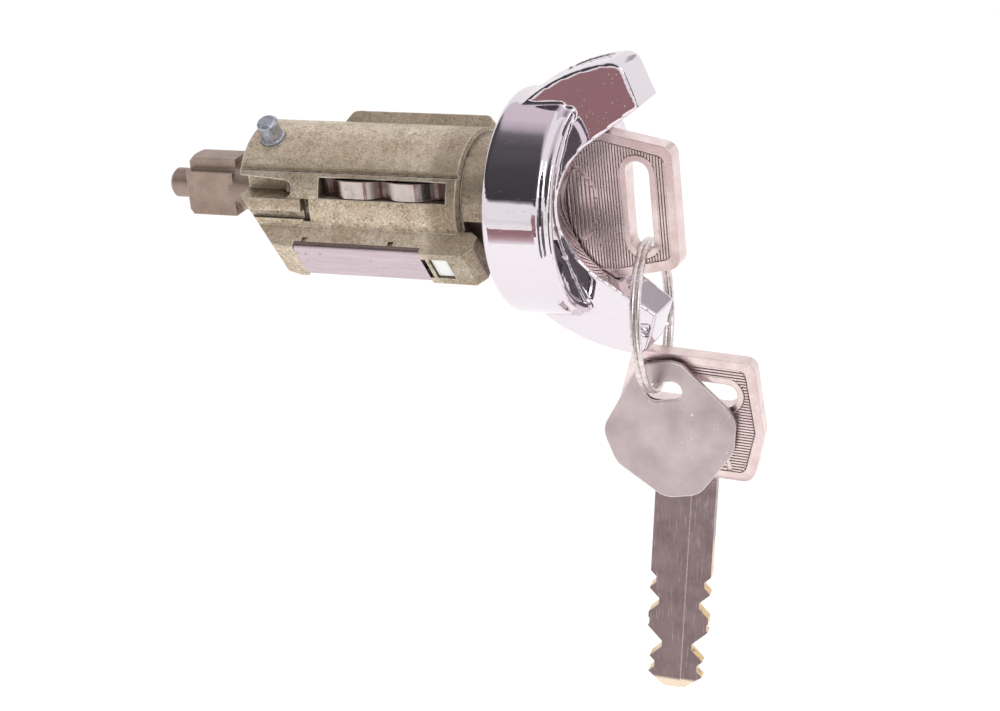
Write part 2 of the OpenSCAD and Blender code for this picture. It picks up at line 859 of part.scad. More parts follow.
module key_tag() {
  color(nickel) on_ring() translate([0, tag_place, 0]) rotate([0, tag_tilt, 0])
    translate([tag_hold, 0, wire_r + tag_hang - tag_hole_r]) difference() {
      flat(tag_t) rounded(both_sides(tag_points), tag_round);
      flat(far) {
        translate([-tag_hole_half, -tag_hole_r]) square([2 * tag_hole_half, 2 * tag_hole_r]);
        for (side = [-1, 1])
          translate([side * tag_hole_half, 0]) circle(tag_hole_r);
      }
    }
}

sleeve();
plug();
tail_shaft();
tail_cross_pin();
tail_snap_ring();
knob();
knob_spring_pin();
retaining_pin();
retaining_pin_spring();
detent_wave_spring();
pin_cover();
key_warning_plunger();
for (i = [0:pin_count - 1]) {
  key_pin(i);
  driver_pin(i);
  pin_spring(i);
}
ignition_key();
spare_key();
key_ring();
key_tag();
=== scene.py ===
"""Looks of the ignition lock cylinder: finishes, polished knob and ridged key bows, in a white studio."""

import math

import bmesh
import bpy
from mathutils import Matrix, Vector


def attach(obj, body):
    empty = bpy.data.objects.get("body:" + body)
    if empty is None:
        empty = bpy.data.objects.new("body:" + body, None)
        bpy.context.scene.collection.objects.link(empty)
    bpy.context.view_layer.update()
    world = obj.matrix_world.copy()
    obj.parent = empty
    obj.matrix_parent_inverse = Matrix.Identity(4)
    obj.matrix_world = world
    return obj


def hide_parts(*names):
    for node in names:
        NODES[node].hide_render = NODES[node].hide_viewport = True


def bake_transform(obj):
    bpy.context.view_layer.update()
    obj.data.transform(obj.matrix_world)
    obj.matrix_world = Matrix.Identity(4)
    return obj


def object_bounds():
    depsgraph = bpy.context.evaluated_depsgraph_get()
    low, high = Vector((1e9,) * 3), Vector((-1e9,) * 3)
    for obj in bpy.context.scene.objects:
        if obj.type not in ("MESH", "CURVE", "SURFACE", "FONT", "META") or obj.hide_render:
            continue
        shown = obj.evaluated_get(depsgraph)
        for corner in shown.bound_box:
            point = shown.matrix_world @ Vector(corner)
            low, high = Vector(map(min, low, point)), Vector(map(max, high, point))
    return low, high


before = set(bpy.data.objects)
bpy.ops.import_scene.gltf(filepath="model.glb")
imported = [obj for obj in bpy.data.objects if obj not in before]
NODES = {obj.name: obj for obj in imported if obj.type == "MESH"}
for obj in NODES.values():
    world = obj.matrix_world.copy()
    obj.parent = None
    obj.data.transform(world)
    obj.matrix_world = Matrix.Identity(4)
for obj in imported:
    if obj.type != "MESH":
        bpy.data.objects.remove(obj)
CAD_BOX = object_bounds()
MM = 0.001

# Camera, as fitted to the photograph
IMAGE_W = 1000
SENSOR_MM = 36
FOCAL_PX = 3002.358
AZIMUTH = math.radians(26.2091)
ELEVATION = math.radians(21.084)
ROLL = math.radians(5.9244)
DISTANCE = 450 * MM
TARGET = Vector((-0.6083, 0, -25.1736)) * MM
CLIP_NEAR = 0.01
CLIP_FAR = 50

# Studio
FLOOR_DROP = 45 * MM
FLOOR_HALF = 3.0
AMBIENT = 0.95
MATT = 0.9

# Sizes of the keys, in millimetres, with the shoulder at the origin and the bow along +X
SHOULDER_X = 11.4
BOW_LEN = 18.8
BOW_ROOT_HALF = 10.1
BOW_WIDE_HALF = 11.2
BOW_WIDE_X = 0.42 * BOW_LEN
BOW_END_HALF = 9.0
RIM_W = 1.3
FACE_HALF = 1.1
POCKET_ROUND = 1.15
EYE_X = BOW_LEN - 5.55
EYE_HALF = 6.9
EYE_R = 1.85
EYE_RIM = 0.9
BLADE_LEN = 36.2

# Ridges on the bows, in millimetres: coarse ones in a round panel at the root, and fine ones around it
PANEL_X = 0.2
PANEL_R = 6.5
PANEL_LINE = 0.34
FINE_PITCH = 0.44
FINE_FOOT = 0.42 * FINE_PITCH
COARSE_PITCH = 0.62
COARSE_FOOT = 0.4 * COARSE_PITCH
CREST_SHARE = 0.72
RIDGE_TOP = 0.24
RIDGE_SINK = 0.02
RIDGE_SLOPE = 0.12
RIDGE_MARGIN = 0.06
SHORTEST_HALF = 0.4
SHORTEST_SPAN = 0.3

# Colours of the blades, in millimetres: darker from the shoulder on, bare brass in the cuts, and a pale tip
SHOULDER_FADE = 0.6
MILL_Z = -0.9
MILL_FADE = 0.02
BARE_HALF = 1.07
BARE_MILLED_HALF = 0.83
CUTS_START = 10.5
CUTS_FULL = 12
TIP_W = 1.5
TIP_FULL = 0.7 * TIP_W

# Place of the spare key on the ring, in millimetres and degrees
WIRE_R = 0.42
RING_TURN = 9
RING_LOW = Vector((24.65, 0, -28.03))
SPARE_PLACE = 1.75
SPARE_TILT = 7.5
SPARE_HOLD = -4.9
SPARE_HANG = 0.9
SPARE_DROP = WIRE_R + SPARE_HANG - EYE_X - EYE_R

# Painted shade on the sleeve beside the knob and in the groove under the shell's edge, and a darker tone on
# the fin: where each starts and is full, in millimetres, and its share of the colour there
SLEEVE_R = 10.2
FRONT_START = 5.4
FRONT_FULL = 3.8
FRONT_SHARE = 0.4
GROOVE_LOW = 5.5
GROOVE_HIGH = 6.2
GROOVE_FADE = 0.15
GROOVE_START = 7.7
GROOVE_FULL = 8.0
GROOVE_SHARE = 0.65
FIN_START = SLEEVE_R + 0.05
FIN_FULL = SLEEVE_R + 0.25
FIN_RISE = 1.0
FIN_SHARE = 0.34

# Distances from the lock's axis, in millimetres, over which the wave spring goes from painted shade between
# its crests to a painted highlight on them
WAVE_CREST = 9.85
WAVE_TROUGH = 9.3

# Polishing of the knob: lengths in millimetres, and how far and how often its surface is smoothed
WELD = 0.001
POLISH_VOXEL = 0.27
POLISH_FACTOR = 0.5
POLISH_PASSES = 4


def srgb(red, green, blue):
    """A screen colour of 0 to 255 as linear RGBA."""
    parts = [value / 255 for value in (red, green, blue)]
    return [p / 12.92 if p <= 0.04045 else ((p + 0.055) / 1.055) ** 2.4 for p in parts] + [1]


def turn(axis, degrees):
    return Matrix.Rotation(math.radians(degrees), 4, axis)


def key_place():
    """Where the key sits in the lock."""
    return Matrix.Translation((SHOULDER_X * MM, 0, 0))


def spare_place():
    """Where the spare key hangs: the same turns, in the same order, as its solid."""
    hang = Matrix.Translation(RING_LOW * MM) @ turn("Z", RING_TURN)
    lean = Matrix.Translation((0, SPARE_PLACE * MM, 0)) @ turn("Y", SPARE_TILT) @ turn("Y", -90)
    return hang @ lean @ Matrix.Translation((SPARE_DROP * MM, 0, SPARE_HOLD * MM))


class Look:
    """One node material, built a step at a time in the object's own coordinates."""

    SAMPLES = 6

    def __init__(self, name, metallic, roughness):
        self.material = bpy.data.materials.new(name)
        self.material.use_nodes = True
        self.tree = self.material.node_tree
        self.shader = self.tree.nodes["Principled BSDF"]
        self.shader.inputs["Metallic"].default_value = metallic
        self.shader.inputs["Roughness"].default_value = roughness
        self.place = self.add("ShaderNodeTexCoord").outputs["Object"]
        self.normal = None

    def add(self, kind, inputs=None, **settings):
        """A new node with its settings, and with values or links at its inputs."""
        node = self.tree.nodes.new(kind)
        for name, value in settings.items():
            setattr(node, name, value)
        for key, value in (inputs or {}).items():
            self.feed(node.inputs[key], value)
        return node

    def feed(self, socket, value):
        if isinstance(value, bpy.types.NodeSocket):
            self.tree.links.new(value, socket)
        else:
            socket.default_value = value

    def give(self, socket, value):
        self.feed(self.shader.inputs[socket], value)

    def split(self, vector):
        """The X, Y and Z of a vector."""
        return self.add("ShaderNodeSeparateXYZ", {"Vector": vector}).outputs

    def stretched(self, x, y, z):
        node = self.add("ShaderNodeMapping", {"Vector": self.place, "Scale": (x, y, z)})
        return node.outputs["Vector"]

    def noise(self, size_mm, detail=2.0, rough=0.5, place=None):
        scale = 1 / (size_mm * MM)
        inputs = {"Vector": place or self.place, "Scale": scale, "Detail": detail, "Roughness": rough}
        return self.add("ShaderNodeTexNoise", inputs).outputs["Fac"]

    def cells(self, size_mm):
        inputs = {"Vector": self.place, "Scale": 1 / (size_mm * MM)}
        return self.add("ShaderNodeTexVoronoi", inputs).outputs["Distance"]

    def ramp(self, value, low, high, out_low=0.0, out_high=1.0):
        """A value taken from one range to another and held at its ends."""
        inputs = {"Value": value, "From Min": low, "From Max": high, "To Min": out_low, "To Max": out_high}
        return self.add("ShaderNodeMapRange", inputs, clamp=True).outputs["Result"]

    def calc(self, operation, *values):
        return self.add("ShaderNodeMath", dict(enumerate(values)), operation=operation).outputs["Value"]

    def mix(self, share, first, second):
        """The first colour with a share of the second, by the colour sockets of the Mix node."""
        return self.add("ShaderNodeMix", data_type="RGBA", inputs={0: share, 6: first, 7: second}).outputs[2]

    def patchy(self, marks, patch_mm, full=0.6):
        """Marks that show in some patches only."""
        return self.calc("MULTIPLY", marks, self.ramp(self.noise(patch_mm), 0.5, full))

    def rounded(self, radius_mm):
        """Shades the sharp edges of the mesh as if they had a small radius."""
        node = self.add("ShaderNodeBevel", {"Radius": radius_mm * MM}, samples=self.SAMPLES)
        self.normal = node.outputs["Normal"]

    def edges(self, gain):
        """1 along edges and 0 on open faces, from the rounded normal."""
        flat = self.add("ShaderNodeNewGeometry").outputs["Normal"]
        dot = self.add("ShaderNodeVectorMath", {0: flat, 1: self.normal}, operation="DOT_PRODUCT")
        return self.ramp(dot.outputs["Value"], 1.0, 1.0 - 1.0 / gain)

    def crevices(self, distance_mm):
        """1 in corners and gaps, 0 on open faces."""
        node = self.add("ShaderNodeAmbientOcclusion", {"Distance": distance_mm * MM}, samples=self.SAMPLES)
        return self.calc("SUBTRACT", 1.0, node.outputs["AO"])

    def bump(self, height, depth_mm):
        inputs = {"Height": height, "Distance": depth_mm * MM, "Strength": 1.0}
        if self.normal is not None:
            inputs["Normal"] = self.normal
        self.normal = self.add("ShaderNodeBump", inputs).outputs["Normal"]

    def done(self):
        if self.normal is not None:
            self.give("Normal", self.normal)
        return self.material


# Materials


def sleeve_painted_shade_and_fin_tone(look):
    """Share of a dark colour: painted shade beside the knob and in the groove under the shell's edge, and a
    darker tone on the fin.
    """
    along, across, up = look.split(look.place)
    front = look.ramp(along, -FRONT_START * MM, -FRONT_FULL * MM, 0, FRONT_SHARE)
    above = look.ramp(up, (GROOVE_LOW - GROOVE_FADE) * MM, GROOVE_LOW * MM, 0, GROOVE_SHARE)
    below = look.ramp(up, (GROOVE_HIGH + GROOVE_FADE) * MM, GROOVE_HIGH * MM)
    outside = look.ramp(across, -GROOVE_START * MM, -GROOVE_FULL * MM)
    groove = look.calc("MULTIPLY", look.calc("MULTIPLY", above, below), outside)
    radial = look.add("ShaderNodeVectorMath", {0: look.stretched(0, 1, 1)}, operation="LENGTH")
    fin = look.ramp(radial.outputs["Value"], FIN_START * MM, FIN_FULL * MM, 0, FIN_SHARE)
    fin = look.calc("MULTIPLY", fin, look.ramp(up, 0, FIN_RISE * MM))
    return look.calc("MAXIMUM", front, look.calc("MAXIMUM", groove, fin))


def cast_zinc():
    """As-cast zinc under a brown chromate film: grain with dark and light specks, the light ones partly a
    painted sparkle, blotches, painted shade in corners and recesses, and worn edges whose light colour is
    partly a painted highlight.
    """
    look = Look("cast_zinc", 0.85, 0.42)
    look.rounded(0.26)
    grain = look.noise(0.34, 3.0, 0.65)
    blotch = look.noise(5.0, 3.0, 0.55)
    film = look.mix(look.ramp(blotch, 0.35, 0.68), srgb(192, 175, 151), srgb(220, 205, 186))
    film = look.mix(look.ramp(look.noise(1.2, 3.0, 0.6), 0.44, 0.66, 0, 0.5), film, srgb(150, 131, 104))
    film = look.mix(look.ramp(grain, 0.46, 0.33, 0, 0.7), film, srgb(112, 93, 66))
    # Light grain specks, partly a painted sparkle
    film = look.mix(look.ramp(grain, 0.55, 0.69, 0, 0.7), film, srgb(244, 236, 224))
    # Painted shade in deep corners and recesses, such as the neck behind the knob
    film = look.mix(look.ramp(look.crevices(5.0), 0.2, 0.7, 0, 0.5), film, srgb(92, 76, 54))
    # Painted shade beside the knob and in the groove, and the darker tone on the fin
    film = look.mix(sleeve_painted_shade_and_fin_tone(look), film, srgb(94, 76, 54))
    # Worn edges broken up by noise, whose light colour is partly a painted highlight along the edges
    wear_and_highlight = look.calc("MULTIPLY", look.edges(14), look.ramp(look.noise(1.1, 3.0), 0.32, 0.52))
    film = look.mix(wear_and_highlight, film, srgb(228, 220, 206))
    # Painted shade in tight corners and gaps
    film = look.mix(look.ramp(look.crevices(1.6), 0.25, 0.95, 0, 0.72), film, srgb(64, 50, 32))
    look.give("Base Color", film)
    look.give("Roughness", look.ramp(grain, 0.3, 0.7, 0.52, 0.28))
    look.bump(grain, 0.050)
    return look.done()


def tail_zinc():
    """Smoother brownish zinc of the tail and the plug, with painted shade in its corners and gaps."""
    look = Look("tail_zinc", 0.8, 0.4)
    look.rounded(0.25)
    grain = look.noise(0.3, 3.0, 0.6)
    film = look.mix(look.ramp(look.noise(4.0), 0.35, 0.65), srgb(144, 125, 114), srgb(162, 143, 132))
    film = look.mix(look.ramp(grain, 0.42, 0.3, 0, 0.35), film, srgb(88, 71, 58))
    film = look.mix(look.calc("MULTIPLY", look.edges(8), 0.7), film, srgb(205, 192, 178))
    # Painted shade in corners and gaps
    film = look.mix(look.ramp(look.crevices(1.5), 0.3, 0.95, 0, 0.7), film, srgb(58, 45, 36))
    look.give("Base Color", film)
    look.give("Roughness", look.ramp(grain, 0.3, 0.7, 0.46, 0.32))
    look.bump(grain, 0.012)
    return look.done()


def chrome():
    """Mirror chrome over a cast body, with a slight waviness and a few fine pits."""
    look = Look("chrome", 1.0, 0.045)
    pits = look.ramp(look.cells(0.55), 0.13, 0.05)
    pits = look.calc("MULTIPLY", pits, look.ramp(look.noise(2.4), 0.46, 0.62))
    shade = look.calc("MULTIPLY", pits, 0.7)
    look.give("Base Color", look.mix(shade, srgb(226, 218, 224), srgb(150, 140, 138)))
    look.bump(look.noise(1.7, 1.0), 0.006)
    look.bump(pits, -0.02)
    return look.done()


def plated_zinc():
    """Blue-white plating on the retaining pin, brighter along its rim."""
    look = Look("plated_zinc", 0.9, 0.36)
    look.rounded(0.2)
    haze = look.noise(0.5, 3.0, 0.6)
    film = look.mix(look.ramp(haze, 0.35, 0.65), srgb(140, 146, 158), srgb(190, 194, 202))
    look.give("Base Color", look.mix(look.edges(5), film, srgb(236, 237, 240)))
    look.give("Roughness", look.ramp(haze, 0.3, 0.7, 0.44, 0.28))
    look.bump(haze, 0.008)
    return look.done()


def wave_steel():
    """Polished strip with a painted highlight on its crests and painted shade between them, and a few flecks
    of rust.
    """
    look = Look("wave_steel", 1.0, 0.2)
    haze = look.noise(1.6, 3.0, 0.6)
    # Painted highlight on the crests, fading to painted shade between them
    crest_highlight = look.ramp(look.split(look.place)["Y"], -WAVE_TROUGH * MM, -WAVE_CREST * MM)
    film = look.mix(crest_highlight, srgb(100, 83, 80), srgb(196, 185, 180))
    film = look.mix(look.ramp(haze, 0.45, 0.65, 0, 0.4), film, srgb(150, 138, 132))
    flecks = look.patchy(look.ramp(look.noise(0.5, 3.0, 0.7), 0.62, 0.68), 4.0)
    look.give("Base Color", look.mix(flecks, film, srgb(48, 36, 30)))
    look.give("Roughness", look.ramp(haze, 0.3, 0.7, 0.26, 0.14))
    look.bump(haze, 0.006)
    return look.done()


def bright_steel():
    """Polished cover strip with faint lengthwise lines, small dark nicks and painted shade on its
    upward-facing bend along its top.
    """
    look = Look("bright_steel", 0.95, 0.24)
    look.rounded(0.15)
    lines = look.noise(0.15, 2.0, 0.5, look.stretched(0.02, 1, 1))
    film = look.mix(look.ramp(lines, 0.3, 0.7), srgb(188, 172, 178), srgb(206, 190, 196))
    # Painted shade on faces that point up, along the strip's top bend
    film = look.mix(look.ramp(look.split(look.normal)["Z"], 0.02, 0.75), film, srgb(158, 136, 130))
    nicks = look.patchy(look.ramp(look.noise(0.7, 4.0, 0.75), 0.6, 0.68), 5.0)
    look.give("Base Color", look.mix(nicks, film, srgb(96, 76, 66)))
    look.give("Roughness", look.ramp(lines, 0.3, 0.7, 0.32, 0.18))
    look.bump(lines, 0.003)
    return look.done()


def plain_steel(name, tone):
    """Drawn steel for pins, rings and springs."""
    look = Look(name, 1.0, 0.3)
    haze = look.noise(0.6, 3.0, 0.6)
    dark = [0.72 * part for part in tone[:3]] + [1]
    look.give("Base Color", look.mix(look.ramp(haze, 0.35, 0.65), dark, tone))
    look.give("Roughness", look.ramp(haze, 0.3, 0.7, 0.38, 0.2))
    look.bump(haze, 0.004)
    return look.done()


def white_plastic():
    """Moulded plunger, darker in patches in its corners and gaps."""
    look = Look("white_plastic", 0.0, 0.42)
    look.rounded(0.2)
    corner_patches = look.calc("MULTIPLY", look.crevices(0.8), look.ramp(look.noise(0.7, 3.0), 0.35, 0.65))
    look.give("Base Color", look.mix(corner_patches, srgb(240, 240, 236), srgb(150, 140, 120)))
    look.bump(look.noise(0.3), 0.006)
    return look.done()


def turned_brass():
    """Lathe-turned pins."""
    look = Look("turned_brass", 1.0, 0.28)
    rings = look.noise(0.1)
    look.give("Base Color", look.mix(look.ramp(rings, 0.3, 0.7), srgb(178, 146, 82), srgb(214, 186, 120)))
    look.bump(rings, 0.004)
    return look.done()


def bare_brass(look, along, through, across):
    """1 where cutting the key took the plating off: between the faces of the blade, from the cuts on."""
    step = [(MILL_Z - MILL_FADE) * MM, (MILL_Z + MILL_FADE) * MM]
    inside = look.ramp(across, *step, BARE_MILLED_HALF * MM, BARE_HALF * MM)
    bare = look.calc("LESS_THAN", look.calc("ABSOLUTE", through), inside)
    bare = look.calc("MULTIPLY", bare, look.ramp(along, -CUTS_START * MM, -CUTS_FULL * MM))
    return look.calc("MULTIPLY", bare, look.ramp(look.noise(0.8, 3.0), 0.28, 0.45))


def nickel_key(name, place):
    """Nickel over brass: rosy silver, cloudy and scratched, with painted shade in its corners and between
    the bow's ridges, and bare brass where the blade was cut.
    """
    look = Look(name, 1.0, 0.26)
    inverse = place.inverted()
    inputs = {"Vector": look.place, "Location": inverse.to_translation(), "Rotation": inverse.to_euler()}
    look.place = look.add("ShaderNodeMapping", inputs).outputs["Vector"]
    along, through, across = look.split(look.place)
    look.rounded(0.16)
    cloud = look.noise(2.6, 4.0, 0.6)
    scratch = look.noise(0.16, 2.0, 0.6, look.stretched(0.05, 1, 1))
    bow = look.mix(look.ramp(cloud, 0.3, 0.7), srgb(222, 200, 197), srgb(238, 220, 218))
    blade = look.mix(look.ramp(cloud, 0.3, 0.7), srgb(120, 103, 104), srgb(136, 118, 119))
    film = look.mix(look.ramp(along, SHOULDER_FADE * MM, -SHOULDER_FADE * MM), bow, blade)
    film = look.mix(look.ramp(scratch, 0.58, 0.74, 0, 0.3), film, srgb(226, 214, 209))
    # Painted shade in corners and in the grooves between the ridges
    film = look.mix(look.ramp(look.crevices(0.9), 0.35, 0.95, 0, 0.55), film, srgb(84, 62, 52))
    film = look.mix(bare_brass(look, along, through, across), film, srgb(226, 192, 144))
    tip = look.ramp(along, -(BLADE_LEN - TIP_W) * MM, -(BLADE_LEN - TIP_FULL) * MM)
    film = look.mix(tip, film, srgb(238, 217, 194))
    film = look.mix(look.calc("MULTIPLY", look.edges(6), 0.6), film, srgb(252, 240, 236))
    look.give("Base Color", film)
    look.give("Roughness", look.ramp(cloud, 0.3, 0.7, 0.33, 0.2))
    look.bump(scratch, 0.003)
    return look.done()


def satin_tag():
    """Stamped tag: satin nickel with clouds, short scratches and a painted highlight along its rim."""
    look = Look("satin_tag", 1.0, 0.34)
    look.rounded(0.3)
    cloud = look.noise(5.0, 4.0, 0.6)
    film = look.mix(look.ramp(cloud, 0.3, 0.7), srgb(183, 167, 169), srgb(201, 186, 188))
    marks = look.patchy(look.ramp(look.noise(0.45, 3.0, 0.7), 0.62, 0.72), 3.0, 0.62)
    film = look.mix(marks, film, srgb(246, 240, 236))
    # Painted highlight along the rim
    film = look.mix(look.edges(10), film, srgb(250, 245, 243))
    look.give("Base Color", film)
    look.give("Roughness", look.ramp(cloud, 0.3, 0.7, 0.42, 0.28))
    look.bump(look.noise(0.3, 3.0), 0.004)
    return look.done()


def paint(material, *names):
    for name in names:
        slots = NODES[name].data.materials
        slots.clear()
        slots.append(material)


def finish_of(name):
    return NODES[name].data.materials[0]


def numbered(stem):
    return [name for name in NODES if name.startswith(stem)]


def paint_nodes():
    steel = plain_steel("plain_steel", srgb(186, 184, 186))
    wire = plain_steel("spring_wire", srgb(150, 146, 146))
    paint(chrome(), "knob")
    paint(cast_zinc(), "sleeve")
    paint(tail_zinc(), "plug", "tail_shaft")
    paint(steel, "tail_cross_pin", "tail_snap_ring", "knob_spring_pin")
    paint(plated_zinc(), "retaining_pin")
    paint(wire, "retaining_pin_spring", *numbered("pin_spring_"))
    paint(wave_steel(), "detent_wave_spring")
    paint(bright_steel(), "pin_cover")
    paint(white_plastic(), "key_warning_plunger")
    paint(turned_brass(), *numbered("key_pin_"), *numbered("driver_pin_"))
    paint(plain_steel("ring_wire", srgb(240, 231, 229)), "key_ring")
    paint(satin_tag(), "key_tag")
    paint(nickel_key("key_nickel", key_place()), "ignition_key")
    paint(nickel_key("spare_nickel", spare_place()), "spare_key")


# Pieces made here


def link(name, mesh, material):
    """A new piece with one finish, which still has to be told what it moves with."""
    piece = bpy.data.objects.new(name, mesh)
    bpy.context.scene.collection.objects.link(piece)
    mesh.materials.clear()
    mesh.materials.append(material)
    return piece


def polished_knob():
    """The knob's own solid with its edges rounded as polishing leaves them."""
    body = bmesh.new()
    body.from_mesh(NODES["knob"].data)
    bmesh.ops.remove_doubles(body, verts=body.verts, dist=WELD * MM)
    mesh = bpy.data.meshes.new("polished_knob")
    body.to_mesh(mesh)
    body.free()
    worker = bpy.data.objects.new("polishing", mesh)
    bpy.context.scene.collection.objects.link(worker)
    remesh = worker.modifiers.new("fine", "REMESH")
    remesh.mode = "VOXEL"
    remesh.voxel_size = POLISH_VOXEL * MM
    remesh.use_smooth_shade = True
    smooth = worker.modifiers.new("polish", "SMOOTH")
    smooth.factor = POLISH_FACTOR
    smooth.iterations = POLISH_PASSES
    graph = bpy.context.evaluated_depsgraph_get()
    result = bpy.data.meshes.new_from_object(worker.evaluated_get(graph))
    bpy.data.objects.remove(worker)
    piece = link("polished_knob", result, finish_of("knob"))
    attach(piece, "plug")
    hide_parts("knob")


def pressed_coil():
    """The coil under the retaining pin, with its foot on the sleeve, copied in place of its solid."""
    mesh = NODES["retaining_pin_spring"].data.copy()
    piece = link("pressed_coil", mesh, finish_of("retaining_pin_spring"))
    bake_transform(piece)
    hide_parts("retaining_pin_spring")


def pocket_half(x):
    """Half the width of the bow's sunk face at x, in millimetres."""
    left, right = RIM_W, BOW_LEN - RIM_W
    if not left < x < right:
        return 0
    low, high = (left, BOW_ROOT_HALF), (BOW_WIDE_X, BOW_WIDE_HALF)
    if x > BOW_WIDE_X:
        low, high = high, (right, BOW_END_HALF)
    half = low[1] + (high[1] - low[1]) * (x - low[0]) / (high[0] - low[0]) - RIM_W
    corner = max(0, POCKET_ROUND - min(x - left, right - x))
    return half - POCKET_ROUND + math.sqrt(POCKET_ROUND ** 2 - corner ** 2)


def eye_half(x):
    """Half the width that the eye and its rim take at x, in millimetres."""
    r = EYE_R + EYE_RIM
    if abs(x - EYE_X) >= r:
        return 0
    return EYE_HALF - EYE_R + math.sqrt(r ** 2 - (x - EYE_X) ** 2)


def panel_half(x):
    """Half the width of the round panel at x, in millimetres."""
    reach = PANEL_R ** 2 - (x - PANEL_X) ** 2
    return math.sqrt(reach) if reach > 0 else 0


def spans(outer, inner):
    """The stretches of one ridge on both sides of what interrupts it."""
    if inner <= 0:
        return [(-outer, outer)]
    if outer - inner < SHORTEST_SPAN:
        return []
    return [(-outer, -inner), (inner, outer)]


def ridge_rows():
    """Each ridge of the bow's face as place, half width of its foot, and its two ends, in millimetres."""
    for i in range(int(BOW_LEN / FINE_PITCH)):
        x = RIM_W + FINE_PITCH * (i + 0.5)
        outer = pocket_half(x) - RIDGE_MARGIN
        inner = max(eye_half(x), panel_half(x) + PANEL_LINE if panel_half(x) else 0)
        if outer > SHORTEST_HALF:
            yield from ((x, FINE_FOOT, start, end) for start, end in spans(outer, inner))
    for i in range(int((PANEL_X + PANEL_R) / COARSE_PITCH)):
        x = RIM_W + COARSE_PITCH * (i + 0.5)
        half = min(panel_half(x), pocket_half(x)) - PANEL_LINE / 2
        if half > SHORTEST_HALF:
            yield x, COARSE_FOOT, -half, half


def corners(x, half, start, end):
    return [(x - half, start), (x + half, start), (x + half, end), (x - half, end)]


def add_ridge(body, x, foot, start, end, side):
    """One ridge with sloping flanks and ends, standing on the face at +Y or -Y."""
    base, top = FACE_HALF - RIDGE_SINK, FACE_HALF + RIDGE_TOP
    low = corners(x, foot, start, end)
    high = corners(x, CREST_SHARE * foot, start + RIDGE_SLOPE, end - RIDGE_SLOPE)
    lower = [body.verts.new((px * MM, side * base * MM, pz * MM)) for px, pz in low]
    upper = [body.verts.new((px * MM, side * top * MM, pz * MM)) for px, pz in high]
    body.faces.new(upper)
    body.faces.new(lower[::-1])
    for k in range(4):
        body.faces.new((lower[k], lower[(k + 1) % 4], upper[(k + 1) % 4], upper[k]))


def bow_ridges(name, place, body_name, material):
    """The fine ribbing on both faces of a key's bow."""
    body = bmesh.new()
    for side in (-1, 1):
        for x, foot, start, end in ridge_rows():
            add_ridge(body, x, foot, start, end, side)
    bmesh.ops.recalc_face_normals(body, faces=body.faces)
    mesh = bpy.data.meshes.new(name)
    body.to_mesh(mesh)
    body.free()
    mesh.transform(place)
    piece = link(name, mesh, material)
    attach(piece, body_name)


# Studio


def put_camera():
    """The photograph's camera, which looks at TARGET and leans by ROLL."""
    flat = math.cos(ELEVATION)
    back = Vector((math.sin(AZIMUTH) * flat, -math.cos(AZIMUTH) * flat, math.sin(ELEVATION)))
    level = Vector((math.cos(AZIMUTH), math.sin(AZIMUTH), 0))
    rise = back.cross(level)
    right = level * math.cos(ROLL) - rise * math.sin(ROLL)
    up = rise * math.cos(ROLL) + level * math.sin(ROLL)
    aim = Matrix((right, up, back)).transposed().to_4x4()
    data = bpy.data.cameras.new("camera")
    data.sensor_width = SENSOR_MM
    data.lens = FOCAL_PX / IMAGE_W * SENSOR_MM
    data.clip_start = CLIP_NEAR
    data.clip_end = CLIP_FAR
    camera = bpy.data.objects.new("camera", data)
    bpy.context.scene.collection.objects.link(camera)
    camera.matrix_world = Matrix.Translation(TARGET + back * DISTANCE) @ aim
    bpy.context.scene.camera = camera


def seen_directly(tree):
    """1 for rays that show the background: from the camera, a mirror or glass."""
    rays = tree.nodes.new("ShaderNodeLightPath").outputs
    total = rays["Is Camera Ray"]
    for name in ("Is Glossy Ray", "Is Transmission Ray"):
        either = tree.nodes.new("ShaderNodeMath")
        either.operation = "MAXIMUM"
        tree.links.new(total, either.inputs[0])
        tree.links.new(rays[name], either.inputs[1])
        total = either.outputs[0]
    return total


def white_world():
    """Even light from all around, behind a background that is plain white where it is seen."""
    world = bpy.data.worlds.new("studio")
    bpy.context.scene.world = world
    world.use_nodes = True
    tree = world.node_tree
    light = tree.nodes["Background"]
    light.inputs["Strength"].default_value = AMBIENT
    light.inputs["Color"].default_value = (1, 1, 1, 1)
    white = tree.nodes.new("ShaderNodeBackground")
    white.inputs["Color"].default_value = (1, 1, 1, 1)
    mix = tree.nodes.new("ShaderNodeMixShader")
    tree.links.new(seen_directly(tree), mix.inputs[0])
    tree.links.new(light.outputs[0], mix.inputs[1])
    tree.links.new(white.outputs[0], mix.inputs[2])
    tree.links.new(mix.outputs[0], tree.nodes["World Output"].inputs["Surface"])


def plane(name, centre, facing, width, height, colour):
    """A flat card with an even colour, facing a direction."""
    mesh = bpy.data.meshes.new(name)
    w, h = width / 2, height / 2
    mesh.from_pydata([(-w, -h, 0), (w, -h, 0), (w, h, 0), (-w, h, 0)], [], [(0, 1, 2, 3)])
    card = bpy.data.objects.new(name, mesh)
    bpy.context.scene.collection.objects.link(card)
    aim = Vector(facing).to_track_quat("Z", "Y").to_matrix().to_4x4()
    card.matrix_world = Matrix.Translation(centre) @ aim
    material = bpy.data.materials.new(name)
    material.use_nodes = True
    shader = material.node_tree.nodes["Principled BSDF"]
    shader.inputs["Base Color"].default_value = colour
    shader.inputs["Roughness"].default_value = MATT
    mesh.materials.append(material)
    return card


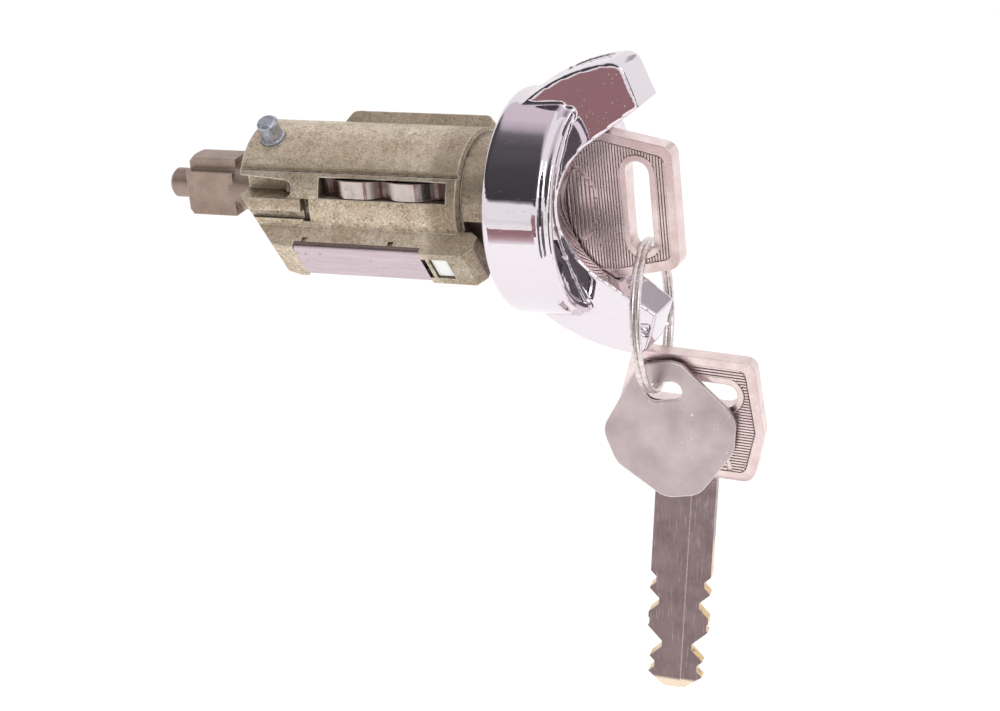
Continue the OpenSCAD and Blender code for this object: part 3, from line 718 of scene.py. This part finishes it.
def reflector(name, centre, width, height, tones):
    """A card that only shows in polished metal, with its tones as stops from its foot (0) to its top (1)."""
    card = plane(name, centre, -Vector(centre), width, height, (0, 0, 0, 1))
    card.visible_camera = False
    card.visible_diffuse = False
    card.visible_shadow = False
    card.visible_transmission = False
    tree = card.data.materials[0].node_tree
    shader = tree.nodes["Principled BSDF"]
    shader.inputs["Emission Strength"].default_value = 1.0
    place = tree.nodes.new("ShaderNodeTexCoord")
    split = tree.nodes.new("ShaderNodeSeparateXYZ")
    ramp = tree.nodes.new("ShaderNodeValToRGB")
    stops = ramp.color_ramp.elements
    while len(stops) < len(tones):
        stops.new(0.5)
    for stop, (height_share, tone) in zip(stops, tones):
        stop.position = height_share
        stop.color = tone
    tree.links.new(place.outputs["Generated"], split.inputs[0])
    tree.links.new(split.outputs["Y"], ramp.inputs[0])
    tree.links.new(ramp.outputs["Color"], shader.inputs["Emission Color"])


def put_cards():
    """The cards that the chrome mirrors, at places and sizes in metres."""
    white = srgb(254, 252, 253)
    reflector("dark_card", (-0.222, -0.180, 0.410), 1.4, 0.88, [
        (0, white), (0.04, srgb(150, 148, 152)), (0.065, srgb(52, 50, 54)), (0.56, srgb(72, 70, 74)),
        (0.64, srgb(104, 100, 104)), (0.69, srgb(190, 182, 190)), (0.76, srgb(222, 212, 220))])
    reflector("brown_card", (-0.017, -0.066, -0.018), 0.020, 0.016, [
        (0, white), (0.3, srgb(204, 176, 180)), (0.6, srgb(168, 132, 136)), (1, srgb(156, 118, 120))])
    reflector("wing_card", (-0.030, -0.185, -0.018), 0.056, 0.07, [
        (0, srgb(150, 108, 108)), (0.8, srgb(160, 122, 124)), (1, srgb(206, 184, 188))])
    reflector("dish_card", (0.120, -0.151, -0.046), 0.132, 0.14, [
        (0, srgb(150, 146, 150)), (0.3, srgb(96, 92, 96)),
        (0.8, srgb(108, 104, 108)), (1, srgb(170, 166, 170))])
    reflector("back_card", (0.083, 0.258, 0.126), 0.08, 0.09, [
        (0, white), (0.3, srgb(176, 170, 174)), (0.7, srgb(200, 194, 198)), (1, white)])
    reflector("side_card", (0.36, -0.16, 0.064), 0.2, 0.26, [(0, srgb(40, 36, 36)), (1, srgb(60, 56, 56))])


def lamp(name, place, size, power):
    """A soft round lamp that points at the origin, in metres and watts."""
    data = bpy.data.lights.new(name, "AREA")
    data.shape = "DISK"
    data.size = size
    data.energy = power
    light = bpy.data.objects.new(name, data)
    light.location = place
    light.rotation_mode = "QUATERNION"
    light.rotation_quaternion = (-Vector(place)).to_track_quat("-Z", "Y")
    bpy.context.scene.collection.objects.link(light)


def studio():
    bpy.context.scene.view_settings.view_transform = "Standard"
    white_world()
    low, _ = CAD_BOX
    floor_z = low.z - FLOOR_DROP
    plane("floor", (0, 0, floor_z), (0, 0, 1), 2 * FLOOR_HALF, 2 * FLOOR_HALF, srgb(252, 251, 251))
    put_cards()
    lamp("key_lamp", (-0.35, -0.25, 0.75), 0.5, 2.0)
    lamp("fill_lamp", (0.6, -0.5, 0.45), 0.5, 1.4)


paint_nodes()
polished_knob()
pressed_coil()
bow_ridges("ignition_key_ridges", key_place(), "key", finish_of("ignition_key"))
bow_ridges("spare_key_ridges", spare_place(), "spare_key", finish_of("spare_key"))
put_camera()
studio()
